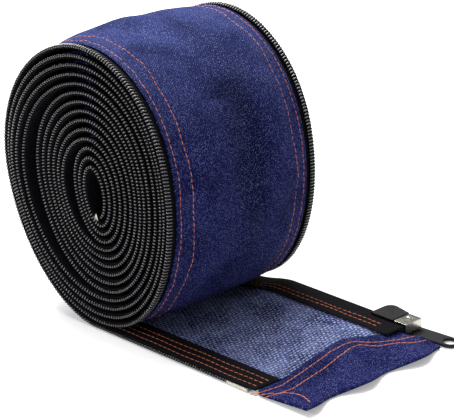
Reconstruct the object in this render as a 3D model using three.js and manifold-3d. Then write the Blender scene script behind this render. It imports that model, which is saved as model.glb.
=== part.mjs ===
// A zippered denim cable sleeve, fully unzipped into one flat strip and rolled up on the floor.
// Lengths are in millimetres. X runs along the loose tail, Y along the roll's axis, Z is up.
// The origin is on the floor, under the middle of the roll's flat spot.
import * as THREE from 'three';
import Module from 'manifold-3d';
import { mergeVertices } from 'three/addons/utils/BufferGeometryUtils.js';

const wasm = await Module();
wasm.setup();

// The strip's section, across the width from its middle line (v) and through its thickness (depth).
// Depth starts at the outer face of the zip coil and grows towards the strip's inner side.
const STRIP_WIDTH = 108;
const COIL_WIDTH = 4.5;
const COIL_HEIGHT = 2.2;
const TAPE_WIDTH = 18.5;
const TAPE_THICKNESS = 0.5;
const TAPE_EDGE_SETBACK = 1;
const DENIM_EDGE_SETBACK = 7;
const DENIM_THICKNESS = 0.9;
const DENIM_FOLD_DROP = 0.4;
const CROWN_HEIGHT = 3.2;
const CROWN_FADE_HEIGHT = 26;
const CROWN_SHOULDER = 24;
const TURN_CLEARANCE = 0.45;

// The roll: four half axes of the outermost turn, its tilt, and the small hollow at its core.
const ROLL_LEFT = 66.6;
const ROLL_RIGHT = 60.4;
const ROLL_LOW = 86;
const ROLL_HIGH = 69.9;
const ROLL_TILT = THREE.MathUtils.degToRad(13.4);
const FLAT_SPOT_DEPTH = 0.8;
const FLAT_SPOT_SHARE = 0.9;
const CORE_HALF_WIDTH = 6.5;
const CORE_HALF_HEIGHT = 13;
const CORE_X = -8;
const CORE_Z = 71.5;

// Two slack places, where the winding was loose: on the back side of the roll, in turns from outside.
const SLACK_PLACES = [
  { turn: 4.35, width: 6.2 },
  { turn: 10.4, width: 6.6 },
];
const SLACK_SPREAD = 0.8;

// The wound turns don't lie quite level with each other along the roll's axis.
const TAIL_OFFSET_Y = -0.8;
const INNER_TURN_DRIFT = 4.5;
const DRIFT_TURNS = 9;
const WOBBLE = 2.2;
const WOBBLE_TURN = 3;
const WOBBLE_TURNS = 2.6;

// The tail on the floor, from the roll's flat spot to the hem, with its far edge held up by the slider.
const TAIL_RISE_START = 9.5;
const TAIL_RISE_END = 37.5;
const FAR_TAPE_END = 119.8;
const NEAR_TAPE_END = 110.3;
const HEM_START = 106.3;
const HEM_END = 142.5;
const HEM_HALF_WIDTH = 52.5;
const HEM_FLARE_LENGTH = 7;
const HEM_THICKNESS = 1.8;
const HEM_WAVE = 1.5;
const HEM_EDGE_WAVE = 3;
const HEM_WAVES = 2.6;
const HEM_WAVE_SHIFT = 0.35;
const HEM_SETTLED = 0.9;

// The metal ends of the zip.
const INSERTION_PIN_LENGTH = 14.5;
const INSERTION_PIN_START = 91.3;
const RETAINER_PIN_LENGTH = 21;
const PIN_WIDTH = 4;
const PIN_HEIGHT = 1.9;
const BOX_LENGTH = 8.5;
const BOX_WALL = 1.1;
const BOX_SOCKET_WIDTH = 4.4;
const BOX_SOCKET_DEPTH = 6.5;
const BOX_RIB = 1.2;
const BOX_WINDOW = 4;
const BOX_WINDOW_SETBACK = 2.1;
const BOX_WINDOW_DEPTH = 0.5;
const STOP_LENGTH = 4;
const STOP_LEG = 0.9;
const STOP_GAP = 0.3;

// The slider, its bail and the pull tab.
const SLIDER_LENGTH = 15;
const SLIDER_TO_BOX = 0.5;
const SLIDER_PLATE = 1.2;
const SLIDER_WALL = 1.2;
const SLIDER_POST_WIDTH = 2.6;
const SLIDER_POST_LENGTH = 5;
const SLIDER_POST_SETBACK = 1;
const SLIDER_REAR_NARROWING = 2.2;
const SLIDER_NOSE_ROUND = 4.5;
const RUN_CLEARANCE = 0.35;
const BAIL_WIDTH = 2.6;
const BAIL_LENGTH = 10;
const BAIL_BAR = 0.9;
const BAIL_POST = 1.6;
const BAIL_SETBACK = 1.5;
const BAIL_FLOOR_GAP = 0.2;
const TAB_LENGTH = 38;
const TAB_WIDTH = 10.5;
const TAB_THICKNESS = 1.6;
const TAB_EYE_THICKNESS = 1;
const TAB_EYE_BAR = 1.2;
const TAB_EYE_LENGTH = 9;
const TAB_EYE_RIM = 2;
const TAB_THIN_END = 8;
const TAB_NECK_INSET = 1.5;
const TAB_HOLE = 7.2;
const TAB_HOLE_MARGIN = 1.7;
const TAB_YAW = THREE.MathUtils.degToRad(8);
const TAB_DIP = THREE.MathUtils.degToRad(1.6);

// How finely the strip is stepped: the outermost turn shows most, so it has twice the steps.
const TURN_STEPS = 14;
const OUTER_TURN_STEPS = 2 * TURN_STEPS;
const RISE_STEPS = 5;
const HEM_STEPS = 9;
const HEM_COLUMNS = 16;
const ARC_STEPS = 8;

// The part of a turn over which the winding's direction is taken.
const TANGENT_STEP = 1e-3;

// How far a cutting block reaches past the face that it opens.
const CUT_PAST = 1;

// Values that follow from the driving dimensions.
const HALF_WIDTH = STRIP_WIDTH / 2;
const COIL_INNER = HALF_WIDTH - COIL_WIDTH;
const TAPE_OUTER = HALF_WIDTH - TAPE_EDGE_SETBACK;
const TAPE_INNER = TAPE_OUTER - TAPE_WIDTH;
const DENIM_HALF = HALF_WIDTH - DENIM_EDGE_SETBACK;
const STRIP_STACK = COIL_HEIGHT + TAPE_THICKNESS;
const PACKED_PITCH = STRIP_STACK + TURN_CLEARANCE;
const SLACK_SUM = SLACK_PLACES.reduce((sum, place) => sum + place.width, 0);
const BAIL_GAP = TAB_EYE_BAR + 2 * RUN_CLEARANCE;
const SLIDER_BOTTOM = BAIL_FLOOR_GAP + BAIL_BAR + BAIL_GAP;
const TAIL_RISE = SLIDER_BOTTOM + SLIDER_PLATE + RUN_CLEARANCE;
const SLIDER_TOP = TAIL_RISE + STRIP_STACK + RUN_CLEARANCE + SLIDER_PLATE;

const denimMaterial = new THREE.MeshStandardMaterial({ color: 0x2c3a78, roughness: 0.92, metalness: 0 });
const tapeMaterial = new THREE.MeshStandardMaterial({ color: 0x17171b, roughness: 0.85, metalness: 0 });
const coilMaterial = new THREE.MeshStandardMaterial({ color: 0x101013, roughness: 0.4, metalness: 0 });
const nickelMaterial = new THREE.MeshStandardMaterial({ color: 0xd8d4c8, roughness: 0.3, metalness: 1 });
const sliderMaterial = new THREE.MeshStandardMaterial({ color: 0x0c0c0e, roughness: 0.35, metalness: 0.2 });
const tabMaterial = new THREE.MeshStandardMaterial({ color: 0x111113, roughness: 0.5, metalness: 0 });

const { lerp, clamp, smoothstep } = THREE.MathUtils;

// The roll's winding

const OUTER_CENTRE = contactCentre();

// Centre of the outermost turn, placed so that its lowest point dips below the floor at x = 0.
function contactCentre() {
  const reach = lowestPoint({ left: ROLL_LEFT, low: ROLL_LOW });
  return { x: -reach.x, z: -reach.z - FLAT_SPOT_DEPTH };
}

// Lowest point of a tilted oval, from its centre, with the winding angle at which it comes.
function lowestPoint({ left, low }) {
  const angle = Math.atan2(left * Math.sin(ROLL_TILT), low * Math.cos(ROLL_TILT));
  const across = -left * Math.sin(angle);
  const down = -low * Math.cos(angle);
  return {
    angle,
    x: across * Math.cos(ROLL_TILT) - down * Math.sin(ROLL_TILT),
    z: across * Math.sin(ROLL_TILT) + down * Math.cos(ROLL_TILT),
  };
}

const CONTACT_ANGLE = lowestPoint({ left: ROLL_LEFT, low: ROLL_LOW }).angle;

// The turn's height runs as a cosine of its angle, so this is where the flat spot ends, a little early.
const FLAT_SPOT_ANGLE = Math.acos(1 - FLAT_SPOT_DEPTH / (OUTER_CENTRE.z + FLAT_SPOT_DEPTH));
const FLAT_SPOT_END = (FLAT_SPOT_SHARE * FLAT_SPOT_ANGLE) / (2 * Math.PI);

// Offset of the outermost turn's centre from the core's, in the tilted frame.
const CENTRE_SHIFT = (() => {
  const dx = OUTER_CENTRE.x - CORE_X;
  const dz = OUTER_CENTRE.z - CORE_Z;
  return {
    across: dx * Math.cos(ROLL_TILT) + dz * Math.sin(ROLL_TILT),
    up: dz * Math.cos(ROLL_TILT) - dx * Math.sin(ROLL_TILT),
  };
})();

// The outermost turn's reach to each side, from the core's centre.
const REACH = {
  left: ROLL_LEFT - CENTRE_SHIFT.across,
  right: ROLL_RIGHT + CENTRE_SHIFT.across,
  low: ROLL_LOW - CENTRE_SHIFT.up,
  high: ROLL_HIGH + CENTRE_SHIFT.up,
};
const TURNS = (Math.min(REACH.left - SLACK_SUM, REACH.right) - CORE_HALF_WIDTH) / PACKED_PITCH;

// How far the slack places have pushed the winding in on its back side, after some turns.
function slackSoFar(turn) {
  return SLACK_PLACES.reduce((sum, place) => {
    return sum + place.width * smoothstep(turn, place.turn, place.turn + SLACK_SPREAD);
  }, 0);
}

// A side's reach shrinks evenly from the outermost turn to the core, apart from the slack places.
function sideReach(outer, core, slack, turn) {
  const even = (outer - core - (slack ? SLACK_SUM : 0)) / TURNS;
  return outer - even * turn - (slack ? slackSoFar(turn) : 0);
}

// Point on the winding's outer face after some turns, counted from where the roll meets the tail.
function windingPoint(turn) {
  const angle = CONTACT_ANGLE + 2 * Math.PI * turn;
  const inward = clamp(turn / TURNS, 0, 1);
  const shiftAcross = CENTRE_SHIFT.across * (1 - inward);
  const shiftUp = CENTRE_SHIFT.up * (1 - inward);
  const sine = Math.sin(angle);
  const cosine = Math.cos(angle);
  const halfAcross = sine > 0
    ? sideReach(REACH.left, CORE_HALF_WIDTH, true, turn) + shiftAcross
    : sideReach(REACH.right, CORE_HALF_WIDTH, false, turn) - shiftAcross;
  const halfUp = cosine > 0
    ? sideReach(REACH.low, CORE_HALF_HEIGHT, false, turn) + shiftUp
    : sideReach(REACH.high, CORE_HALF_HEIGHT, false, turn) - shiftUp;
  const across = shiftAcross - halfAcross * sine;
  const up = shiftUp - halfUp * cosine;
  return {
    x: CORE_X + across * Math.cos(ROLL_TILT) - up * Math.sin(ROLL_TILT),
    z: Math.max(0, CORE_Z + across * Math.sin(ROLL_TILT) + up * Math.cos(ROLL_TILT)),
  };
}

// How far the turn is moved along the roll's axis.
function turnOffset(turn) {
  const angle = CONTACT_ANGLE + 2 * Math.PI * turn;
  const near = 1 - smoothstep(Math.abs(turn - WOBBLE_TURN), 0, WOBBLE_TURNS);
  const drift = INNER_TURN_DRIFT * smoothstep(turn, 1, DRIFT_TURNS);
  return TAIL_OFFSET_Y + drift - WOBBLE * near * Math.sin(angle);
}

// A station is a place along the strip: where its outer face is, which way is in, and how it is bent.
function rollStation(turn) {
  const here = windingPoint(turn);
  const before = windingPoint(turn - TANGENT_STEP);
  const after = windingPoint(turn + TANGENT_STEP);
  const length = Math.hypot(after.x - before.x, after.z - before.z);
  const crown = turn < 1 ? smoothstep(here.z, 0, CROWN_FADE_HEIGHT) : 0;
  return {
    x: here.x,
    z: here.z,
    inX: (after.z - before.z) / length,
    inZ: (before.x - after.x) / length,
    offsetY: turnOffset(turn),
    crown: CROWN_HEIGHT * crown,
    rise: 0,
  };
}

function tailStation(x) {
  const rise = TAIL_RISE * smoothstep(x, TAIL_RISE_START, TAIL_RISE_END);
  return { x, z: 0, inX: 0, inZ: 1, offsetY: TAIL_OFFSET_Y, crown: 0, rise };
}

// Stations along the tail from x, then once round for each turn, to where the given ends lie.
function stationsFrom(x, ends) {
  const stations = [tailStation(x)];
  for (let i = 0; i <= RISE_STEPS; i += 1) {
    stations.push(tailStation(lerp(TAIL_RISE_END, TAIL_RISE_START, i / RISE_STEPS)));
  }
  stations.push(rollStation(0), rollStation(FLAT_SPOT_END));
  let step = 1;
  while (step / OUTER_TURN_STEPS < ends[0] - TANGENT_STEP) {
    stations.push(rollStation(step / OUTER_TURN_STEPS));
    step += step < OUTER_TURN_STEPS ? 1 : OUTER_TURN_STEPS / TURN_STEPS;
  }
  stations.push(...ends.map(rollStation));
  return stations;
}

// The turn at which a length of strip is left before the inner end.
function turnBeforeEnd(length) {
  const a = windingPoint(TURNS - TANGENT_STEP);
  const b = windingPoint(TURNS);
  return TURNS - (length * TANGENT_STEP) / Math.hypot(b.x - a.x, b.z - a.z);
}

// The cloth and the tapes run to the inner end, and each coil stops short of the stop that ends it.
const STOP_TURN = turnBeforeEnd(STOP_LENGTH);
const COIL_END_TURN = turnBeforeEnd(STOP_LENGTH + RUN_CLEARANCE);
const FULL_ENDS = [STOP_TURN, TURNS];
const COIL_ENDS = [COIL_END_TURN];

// The far half of the tail is lifted: not at all on the near side, fully under the far tape.
function riseShare(v) {
  return smoothstep(v, -CROWN_SHOULDER, TAPE_INNER);
}

function stripPoint(station, v, depth) {
  return new THREE.Vector3(
    station.x + station.inX * depth,
    station.offsetY + v,
    station.z + station.inZ * depth + station.rise * riseShare(v),
  );
}

// Closed solid between two faces, each a grid of points: rows along the strip, columns across it.
function slab(outer, inner) {
  const rows = outer.length;
  const columns = outer[0].length;
  const positions = [];
  const index = [];
  for (const face of [outer, inner]) {
    for (const row of face) {
      for (const point of row) {
        positions.push(point.x, point.y, point.z);
      }
    }
  }
  const at = (side, row, column) => (side * rows + row) * columns + column;
  const quad = (a, b, c, d) => index.push(a, c, b, a, d, c);
  for (let r = 0; r < rows - 1; r += 1) {
    for (let c = 0; c < columns - 1; c += 1) {
      quad(at(0, r, c), at(0, r, c + 1), at(0, r + 1, c + 1), at(0, r + 1, c));
      quad(at(1, r, c), at(1, r + 1, c), at(1, r + 1, c + 1), at(1, r, c + 1));
    }
    quad(at(0, r, 0), at(0, r + 1, 0), at(1, r + 1, 0), at(1, r, 0));
    quad(at(0, r, columns - 1), at(1, r, columns - 1), at(1, r + 1, columns - 1), at(0, r + 1, columns - 1));
  }
  for (let c = 0; c < columns - 1; c += 1) {
    quad(at(0, 0, c), at(1, 0, c), at(1, 0, c + 1), at(0, 0, c + 1));
    quad(at(0, rows - 1, c), at(0, rows - 1, c + 1), at(1, rows - 1, c + 1), at(1, rows - 1, c));
  }
  const geometry = new THREE.BufferGeometry();
  geometry.setAttribute('position', new THREE.Float32BufferAttribute(positions, 3));
  geometry.setIndex(index);
  return geometry;
}

// A band of the strip between two widths and two depths, from the tail's end to the inner end.
function band(stations, vFrom, vTo, depthFrom, depthTo) {
  const face = (depth) => stations.map((s) => [stripPoint(s, vFrom, depth), stripPoint(s, vTo, depth)]);
  return slab(face(depthFrom), face(depthTo));
}

// Joining and cutting

function toSolid(geometry) {
  const bare = new THREE.BufferGeometry();
  bare.setAttribute('position', geometry.getAttribute('position').clone());
  if (geometry.index) {
    bare.setIndex(geometry.index.clone());
  }
  const merged = mergeVertices(bare, 1e-5);
  const mesh = new wasm.Mesh({
    numProp: 3,
    vertProperties: new Float32Array(merged.getAttribute('position').array),
    triVerts: new Uint32Array(merged.index.array),
  });
  return new wasm.Manifold(mesh);
}

function toGeometry(solid) {
  const mesh = solid.getMesh();
  const geometry = new THREE.BufferGeometry();
  geometry.setAttribute('position', new THREE.BufferAttribute(new Float32Array(mesh.vertProperties), 3));
  geometry.setIndex(new THREE.BufferAttribute(new Uint32Array(mesh.triVerts), 1));
  return geometry;
}

// A block between two corners.
function block(x0, x1, y0, y1, z0, z1) {
  const geometry = new THREE.BoxGeometry(x1 - x0, y1 - y0, z1 - z0);
  geometry.translate((x0 + x1) / 2, (y0 + y1) / 2, (z0 + z1) / 2);
  return toSolid(geometry);
}

// A plate of the plan outline (points in X and Y) between two heights.
function plate(outline, z0, z1, holes = []) {
  const shape = new THREE.Shape(outline);
  shape.holes.push(...holes);
  const geometry = new THREE.ExtrudeGeometry(shape, {
    depth: z1 - z0,
    bevelEnabled: false,
    curveSegments: ARC_STEPS,
  });
  geometry.translate(0, 0, z0);
  return toSolid(geometry);
}

// The denim panel

// The panel's face rises to the crown between its folded edges, and hangs to the floor on the tail.
function denimDepths(station) {
  const middle = -station.crown;
  const folded = DENIM_FOLD_DROP;
  return {
    outer: [folded, middle, middle, folded],
    inner: [COIL_HEIGHT, middle + DENIM_THICKNESS, middle + DENIM_THICKNESS, COIL_HEIGHT],
  };
}

function denimStrip() {
  const columns = [-DENIM_HALF, -CROWN_SHOULDER, CROWN_SHOULDER, DENIM_HALF];
  const outer = [];
  const inner = [];
  for (const station of stationsFrom(HEM_START + HEM_THICKNESS, FULL_ENDS)) {
    const depths = denimDepths(station);
    outer.push(columns.map((v, i) => stripPoint(station, v, depths.outer[i])));
    inner.push(columns.map((v, i) => stripPoint(station, v, depths.inner[i])));
  }
  return toSolid(slab(outer, inner));
}

// The hem: the panel's end folded back on itself past the tapes, wider than the panel and wavy.
function hem() {
  const outer = [];
  const inner = [];
  for (let r = 0; r <= HEM_STEPS; r += 1) {
    const along = 1 - r / HEM_STEPS;
    const outerRow = [];
    const innerRow = [];
    for (let c = 0; c <= HEM_COLUMNS; c += 1) {
      const side = -1 + (2 * c) / HEM_COLUMNS;
      const point = hemPoint(along, side);
      outerRow.push(point);
      innerRow.push(point.clone().add(new THREE.Vector3(0, 0, HEM_THICKNESS)));
    }
    outer.push(outerRow);
    inner.push(innerRow);
  }
  return toSolid(slab(outer, inner));
}

function hemPoint(along, side) {
  const flareStart = side < 0 ? HEM_START : FAR_TAPE_END + RUN_CLEARANCE;
  const spread = smoothstep(lerp(HEM_START, HEM_END, along), flareStart, flareStart + HEM_FLARE_LENGTH);
  const half = lerp(DENIM_HALF, HEM_HALF_WIDTH, spread);
  const v = side * half;
  const wave = Math.sin(HEM_WAVES * Math.PI * (side + HEM_WAVE_SHIFT));
  const end = HEM_END + HEM_EDGE_WAVE * wave;
  const settled = 1 - smoothstep(along, 0, HEM_SETTLED);
  const lift = TAIL_RISE * riseShare(v) * settled;
  return new THREE.Vector3(
    lerp(HEM_START, end, along),
    TAIL_OFFSET_Y + v,
    lift + HEM_WAVE * along * (1 + wave),
  );
}

// The zip's metal ends

// The pin's section sits in the coil's place, and the coil ends where the pin starts.
const PIN_GAP = (COIL_HEIGHT - PIN_HEIGHT) / 2;
const PIN_INNER = COIL_INNER + (COIL_WIDTH - PIN_WIDTH) / 2;
const RETAINER_PIN_END = FAR_TAPE_END - BOX_WALL;
const BOX_START = FAR_TAPE_END - BOX_LENGTH;
const BOX_BOTTOM = TAIL_RISE - PIN_GAP - BOX_WALL;
const BOX_TOP = TAIL_RISE + STRIP_STACK + RUN_CLEARANCE + BOX_WALL;

function pin(xFrom, xTo, near) {
  const rise = near ? 0 : TAIL_RISE;
  const y0 = TAIL_OFFSET_Y + (near ? -PIN_INNER - PIN_WIDTH : PIN_INNER);
  return block(xFrom, xTo, y0, y0 + PIN_WIDTH, rise + PIN_GAP, rise + PIN_GAP + PIN_HEIGHT);
}

// The box grips the far tape and its pin on one half, and takes the insertion pin in the other half.
function retainerBox() {
  const inside = TAIL_OFFSET_Y + COIL_INNER - BOX_WALL;
  const rib = TAIL_OFFSET_Y + HALF_WIDTH;
  const socket = rib + BOX_RIB;
  const outside = socket + BOX_SOCKET_WIDTH + BOX_WALL;
  const tapeTop = TAIL_RISE + STRIP_STACK + RUN_CLEARANCE;
  const tapeSlot = TAIL_RISE + COIL_HEIGHT - RUN_CLEARANCE;
  const middle = (inside + outside) / 2;
  const windowStart = BOX_START + BOX_WINDOW_SETBACK;
  return block(BOX_START, FAR_TAPE_END, inside, outside, BOX_BOTTOM, BOX_TOP)
    .subtract(block(
      BOX_START - CUT_PAST, FAR_TAPE_END - BOX_WALL / 2, inside - CUT_PAST, rib, tapeSlot, tapeTop,
    ))
    .subtract(block(
      BOX_START - CUT_PAST, RETAINER_PIN_END + BOX_WALL / 2,
      inside + BOX_WALL - RUN_CLEARANCE, rib, TAIL_RISE - PIN_GAP, tapeSlot + CUT_PAST / 2,
    ))
    .subtract(block(
      BOX_START - CUT_PAST, BOX_START + BOX_SOCKET_DEPTH,
      socket, socket + BOX_SOCKET_WIDTH, TAIL_RISE - PIN_GAP, tapeSlot,
    ))
    .subtract(block(
      windowStart, windowStart + BOX_WINDOW,
      middle - BOX_WINDOW / 2, middle + BOX_WINDOW / 2, BOX_TOP - BOX_WINDOW_DEPTH, BOX_TOP + CUT_PAST,
    ));
}

// A stop is clamped over the tape's edge at the strip's inner end, in line with the coil.
function topStop(near) {
  const stations = [rollStation(STOP_TURN), rollStation(TURNS)];
  const outer = HALF_WIDTH + STOP_LEG;
  const slotOuter = TAPE_OUTER + STOP_GAP;
  const tapeFace = COIL_HEIGHT - STOP_GAP;
  const tapeBack = STRIP_STACK + STOP_GAP;
  const leg = (vFrom, depthFrom, depthTo) => {
    const [low, high] = near ? [-outer, -vFrom] : [vFrom, outer];
    return toSolid(band(stations, low, high, depthFrom, depthTo));
  };
  return leg(COIL_INNER, 0, tapeFace)
    .add(leg(slotOuter, 0, tapeBack + STOP_LEG))
    .add(leg(COIL_INNER, tapeBack, tapeBack + STOP_LEG));
}

// The slider

const SLIDER_END = BOX_START - SLIDER_TO_BOX;
const SLIDER_START = SLIDER_END - SLIDER_LENGTH;
const CHANNEL_INNER = TAIL_OFFSET_Y + COIL_INNER - RUN_CLEARANCE;
const SLIDER_MIDDLE = TAIL_OFFSET_Y + HALF_WIDTH + RUN_CLEARANCE + SLIDER_POST_WIDTH / 2;
const SLIDER_HALF = SLIDER_MIDDLE - CHANNEL_INNER + SLIDER_WALL;

// Plan outline: straight on the tape's side, rounded at the nose and drawn in at the rear outside.
function sliderOutline(inset = 0) {
  const inside = SLIDER_MIDDLE - SLIDER_HALF + inset;
  const outside = SLIDER_MIDDLE + SLIDER_HALF - inset;
  const round = SLIDER_NOSE_ROUND - inset;
  const points = [];
  for (let i = 0; i <= ARC_STEPS; i += 1) {
    const angle = (Math.PI / 2) * (1 + i / ARC_STEPS);
    points.push(new THREE.Vector2(
      SLIDER_START + inset + round + round * Math.cos(angle),
      outside - round + round * Math.sin(angle),
    ));
  }
  points.push(new THREE.Vector2(SLIDER_START + inset, inside));
  points.push(new THREE.Vector2(SLIDER_END - inset, inside));
  points.push(new THREE.Vector2(SLIDER_END - inset, outside - SLIDER_REAR_NARROWING));
  return points;
}

// Two plates on a wedge-shaped post, with side walls that leave a slot for the tape on each side.
function sliderBody() {
  const floor = TAIL_RISE - RUN_CLEARANCE;
  const roof = TAIL_RISE + STRIP_STACK + RUN_CLEARANCE;
  const slot = TAIL_RISE + COIL_HEIGHT - RUN_CLEARANCE;
  const postStart = SLIDER_START + SLIDER_POST_SETBACK;
  const post = [
    new THREE.Vector2(postStart, SLIDER_MIDDLE),
    new THREE.Vector2(postStart + SLIDER_POST_LENGTH / 2, SLIDER_MIDDLE - SLIDER_POST_WIDTH / 2),
    new THREE.Vector2(postStart + SLIDER_POST_LENGTH, SLIDER_MIDDLE),
    new THREE.Vector2(postStart + SLIDER_POST_LENGTH / 2, SLIDER_MIDDLE + SLIDER_POST_WIDTH / 2),
  ];
  const wallOutside = SLIDER_MIDDLE + SLIDER_HALF - SLIDER_WALL;
  const low = floor - CUT_PAST;
  const high = slot + CUT_PAST;
  const walls = plate(sliderOutline(), floor, slot)
    .subtract(plate(sliderOutline(SLIDER_WALL), low, high))
    .subtract(block(
      SLIDER_START - CUT_PAST, SLIDER_START + SLIDER_NOSE_ROUND, CHANNEL_INNER, wallOutside, low, high,
    ))
    .subtract(block(
      SLIDER_END - SLIDER_WALL - CUT_PAST, SLIDER_END + CUT_PAST,
      CHANNEL_INNER, wallOutside - SLIDER_REAR_NARROWING, low, high,
    ));
  return plate(sliderOutline(), SLIDER_BOTTOM, floor)
    .add(plate(sliderOutline(), roof, SLIDER_TOP))
    .add(plate(post, floor - SLIDER_PLATE / 2, roof + SLIDER_PLATE / 2))
    .add(walls)
    .add(bail());
}

// The bail is a low bridge under the slider, which the tab's eye bar runs through.
const BAIL_END = SLIDER_END - BAIL_SETBACK;
const BAIL_START = BAIL_END - BAIL_LENGTH;

function bail() {
  const y0 = SLIDER_MIDDLE - BAIL_WIDTH / 2;
  const y1 = SLIDER_MIDDLE + BAIL_WIDTH / 2;
  const inPlate = SLIDER_BOTTOM + SLIDER_PLATE / 2;
  return block(BAIL_START, BAIL_END, y0, y1, BAIL_FLOOR_GAP, BAIL_FLOOR_GAP + BAIL_BAR)
    .add(block(BAIL_START, BAIL_START + BAIL_POST, y0, y1, BAIL_FLOOR_GAP, inPlate))
    .add(block(BAIL_END - BAIL_POST, BAIL_END, y0, y1, BAIL_FLOOR_GAP, inPlate));
}

// The pull tab, drawn flat from its eye bar's centre along +X and then turned into place.
function pullTab() {
  const half = TAB_WIDTH / 2;
  const tip = TAB_LENGTH - half;
  const eyeHalf = BAIL_WIDTH / 2 + 2 * RUN_CLEARANCE;
  const neck = half - TAB_NECK_INSET;
  const outline = [new THREE.Vector2(-TAB_EYE_BAR / 2, -neck), new THREE.Vector2(TAB_EYE_LENGTH, -half)];
  for (let i = 0; i <= 2 * ARC_STEPS; i += 1) {
    const angle = -Math.PI / 2 + (Math.PI * i) / (2 * ARC_STEPS);
    outline.push(new THREE.Vector2(tip + half * Math.cos(angle), half * Math.sin(angle)));
  }
  outline.push(new THREE.Vector2(TAB_EYE_LENGTH, half), new THREE.Vector2(-TAB_EYE_BAR / 2, neck));
  const hole = new THREE.Path();
  const radius = TAB_HOLE / 2;
  hole.absarc(TAB_LENGTH - TAB_HOLE_MARGIN - radius, 0, radius, 0, 2 * Math.PI, true);
  const thin = TAB_EYE_THICKNESS / 2;
  const thick = TAB_THICKNESS / 2;
  return plate(outline, -thick, thick, [hole])
    .subtract(block(-half, TAB_THIN_END, -half, half, thin, thick + CUT_PAST))
    .subtract(block(-half, TAB_THIN_END, -half, half, -thick - CUT_PAST, -thin))
    .subtract(block(TAB_EYE_BAR / 2, TAB_EYE_LENGTH - TAB_EYE_RIM, -eyeHalf, eyeHalf, -thick, thick));
}

const TAB_AXIS = new THREE.Vector3(
  BAIL_END - BAIL_POST - RUN_CLEARANCE - TAB_EYE_BAR / 2,
  SLIDER_MIDDLE,
  BAIL_FLOOR_GAP + BAIL_BAR + BAIL_GAP / 2,
);

// The coils stop where the metal ends take over.
function coil(near) {
  const pinStart = near ? INSERTION_PIN_START : RETAINER_PIN_END - RETAINER_PIN_LENGTH;
  const stations = stationsFrom(pinStart - RUN_CLEARANCE, COIL_ENDS);
  return near
    ? band(stations, -HALF_WIDTH, -COIL_INNER, 0, COIL_HEIGHT)
    : band(stations, COIL_INNER, HALF_WIDTH, 0, COIL_HEIGHT);
}

function tape(near) {
  const stations = stationsFrom(near ? NEAR_TAPE_END : FAR_TAPE_END - BOX_WALL, FULL_ENDS);
  return near
    ? band(stations, -TAPE_OUTER, -TAPE_INNER, COIL_HEIGHT, STRIP_STACK)
    : band(stations, TAPE_INNER, TAPE_OUTER, COIL_HEIGHT, STRIP_STACK);
}

// The scene graph

const sleeve = new THREE.Group();

function addPiece(name, geometry, material) {
  const mesh = new THREE.Mesh(geometry, material);
  mesh.name = name;
  sleeve.add(mesh);
  return mesh;
}

addPiece('denim_panel', toGeometry(denimStrip().add(hem())), denimMaterial);
addPiece('near_zip_tape', tape(true), tapeMaterial);
addPiece('far_zip_tape', tape(false), tapeMaterial);
addPiece('near_zip_coil', coil(true), coilMaterial);
addPiece('far_zip_coil', coil(false), coilMaterial);
addPiece(
  'insertion_pin',
  toGeometry(pin(INSERTION_PIN_START, INSERTION_PIN_START + INSERTION_PIN_LENGTH, true)),
  nickelMaterial,
);
addPiece(
  'retainer_pin',
  toGeometry(pin(RETAINER_PIN_END - RETAINER_PIN_LENGTH, RETAINER_PIN_END, false)),
  nickelMaterial,
);
addPiece('retainer_box', toGeometry(retainerBox()), nickelMaterial);
addPiece('near_top_stop', toGeometry(topStop(true)), nickelMaterial);
addPiece('far_top_stop', toGeometry(topStop(false)), nickelMaterial);
addPiece('slider_body', toGeometry(sliderBody()), sliderMaterial);
const tab = addPiece('pull_tab', toGeometry(pullTab()), tabMaterial);
tab.position.copy(TAB_AXIS);
tab.rotation.set(0, TAB_DIP, TAB_YAW, 'ZYX');

export default sleeve;
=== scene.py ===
# A rolled denim cable sleeve with a zip along both edges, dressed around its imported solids.
# Lengths are in millimetres, and become metres where a mesh is made. The floor and the lamps are given
# in metres.
import math

import bmesh
import bpy
import numpy as np
from mathutils import Matrix, Vector


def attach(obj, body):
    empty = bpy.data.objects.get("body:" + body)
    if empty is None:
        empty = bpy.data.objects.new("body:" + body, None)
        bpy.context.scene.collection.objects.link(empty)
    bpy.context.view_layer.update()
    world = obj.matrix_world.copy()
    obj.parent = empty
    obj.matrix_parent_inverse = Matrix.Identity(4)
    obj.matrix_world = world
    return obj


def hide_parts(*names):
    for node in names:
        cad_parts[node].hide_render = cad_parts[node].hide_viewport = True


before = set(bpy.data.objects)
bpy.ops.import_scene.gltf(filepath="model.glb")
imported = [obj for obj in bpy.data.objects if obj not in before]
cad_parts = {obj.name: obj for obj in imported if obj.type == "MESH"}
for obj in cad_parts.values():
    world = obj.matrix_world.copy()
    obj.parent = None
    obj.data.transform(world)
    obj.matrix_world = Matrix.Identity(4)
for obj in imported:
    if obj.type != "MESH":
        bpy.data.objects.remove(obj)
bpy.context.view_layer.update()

MM = 0.001

# The strip's section, as in the part's source: v runs across, depth from the coil's outer face inwards.
HALF_WIDTH = 54
COIL_WIDTH = 4.5
COIL_HEIGHT = 2.2
TAPE_OUTER = 53
TAPE_INNER = 34.5
TAPE_THICKNESS = 0.5
DENIM_HALF = 47
DENIM_THICKNESS = 0.9
DENIM_FOLD_DROP = 0.4
CROWN_HEIGHT = 3.2
CROWN_FADE_HEIGHT = 26
CROWN_SHOULDER = 24
TURN_CLEARANCE = 0.45
STRIP_STACK = COIL_HEIGHT + TAPE_THICKNESS

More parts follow.
